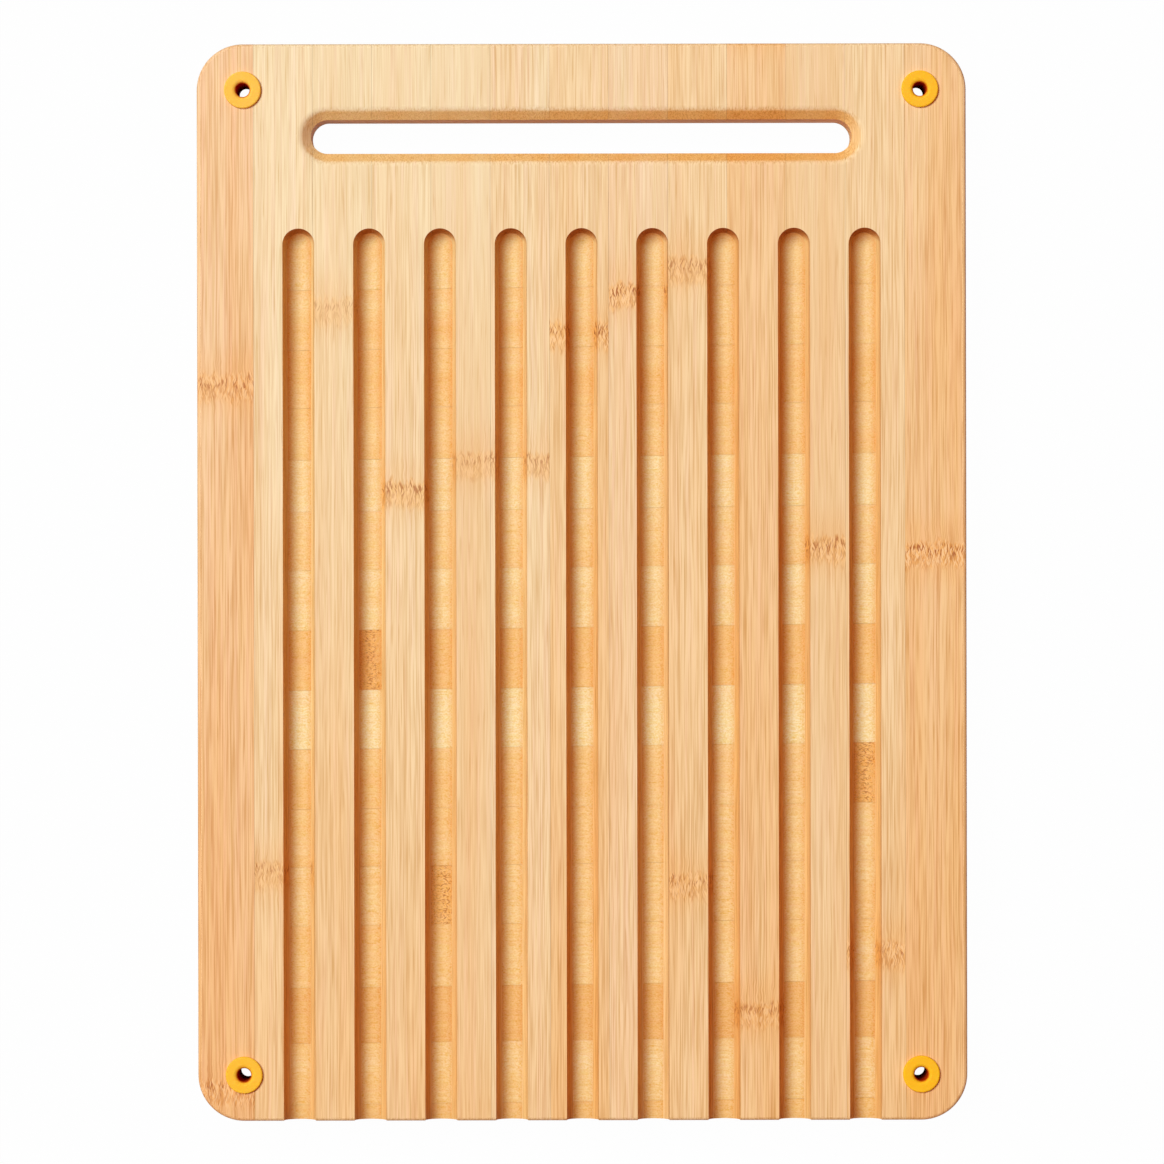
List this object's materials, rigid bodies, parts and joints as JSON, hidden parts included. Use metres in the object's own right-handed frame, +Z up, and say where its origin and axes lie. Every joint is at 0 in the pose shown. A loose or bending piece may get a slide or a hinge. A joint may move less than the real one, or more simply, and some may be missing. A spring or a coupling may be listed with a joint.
{
  "type": "bread board",
  "caption": "Rectangular laminated bamboo bread board with round corners, a long hand slot, crumb grooves open at one end and silicone corner grommets as feet.",
  "frame": {"origin": "centre of the board's outline, on the surface that its four lower grommet flanges rest on", "axes": "+Z up with the grooved face on top, +Y along the board towards the end with the hand slot, +X to the right in the picture"},
  "size_m": [0.25, 0.35, 0.0225],
  "materials": {
    "face_bamboo": "sanded and oiled, matt",
    "core_bamboo": "routed across the grain, oiled, matt",
    "back_bamboo": "sanded and oiled, matt",
    "amber_silicone": "moulded, satin"
  },
  "bodies": {
    "root": {"face_strip_01": "face_bamboo", "face_strip_02": "face_bamboo", "face_strip_03": "face_bamboo", "face_strip_04": "face_bamboo", "face_strip_05": "face_bamboo", "face_strip_06": "face_bamboo", "face_strip_07": "face_bamboo", "face_strip_08": "face_bamboo", "face_strip_09": "face_bamboo", "face_strip_10": "face_bamboo", "face_strip_11": "face_bamboo", "face_strip_12": "face_bamboo", "face_strip_13": "face_bamboo", "face_stub_03": "face_bamboo", "face_stub_04": "face_bamboo", "face_stub_05": "face_bamboo", "face_stub_06": "face_bamboo", "face_stub_07": "face_bamboo", "face_stub_08": "face_bamboo", "face_stub_09": "face_bamboo", "face_stub_10": "face_bamboo", "face_stub_11": "face_bamboo", "core_strip_01": "core_bamboo", "core_strip_02": "core_bamboo", "core_strip_03": "core_bamboo", "core_strip_04": "core_bamboo", "core_strip_05": "core_bamboo", "core_strip_06": "core_bamboo", "core_strip_07": "core_bamboo", "core_strip_08": "core_bamboo", "core_strip_09": "core_bamboo", "core_strip_10": "core_bamboo", "core_strip_11": "core_bamboo", "core_strip_12": "core_bamboo", "core_strip_13": "core_bamboo", "core_strip_14": "core_bamboo", "core_strip_15": "core_bamboo", "core_strip_16": "core_bamboo", "core_strip_17": "core_bamboo", "core_strip_18": "core_bamboo", "core_strip_19": "core_bamboo", "back_strip_01": "back_bamboo", "back_strip_02": "back_bamboo", "back_strip_03": "back_bamboo", "back_strip_04": "back_bamboo", "back_strip_05": "back_bamboo", "back_strip_06": "back_bamboo", "back_strip_07": "back_bamboo", "back_strip_08": "back_bamboo", "back_strip_09": "back_bamboo", "back_strip_10": "back_bamboo", "back_strip_11": "back_bamboo", "back_strip_12": "back_bamboo", "back_strip_13": "back_bamboo", "back_grip_rail": "back_bamboo", "grommet_front_left": "amber_silicone", "grommet_front_right": "amber_silicone", "grommet_rear_left": "amber_silicone", "grommet_rear_right": "amber_silicone"}
  },
  "joints": []
}
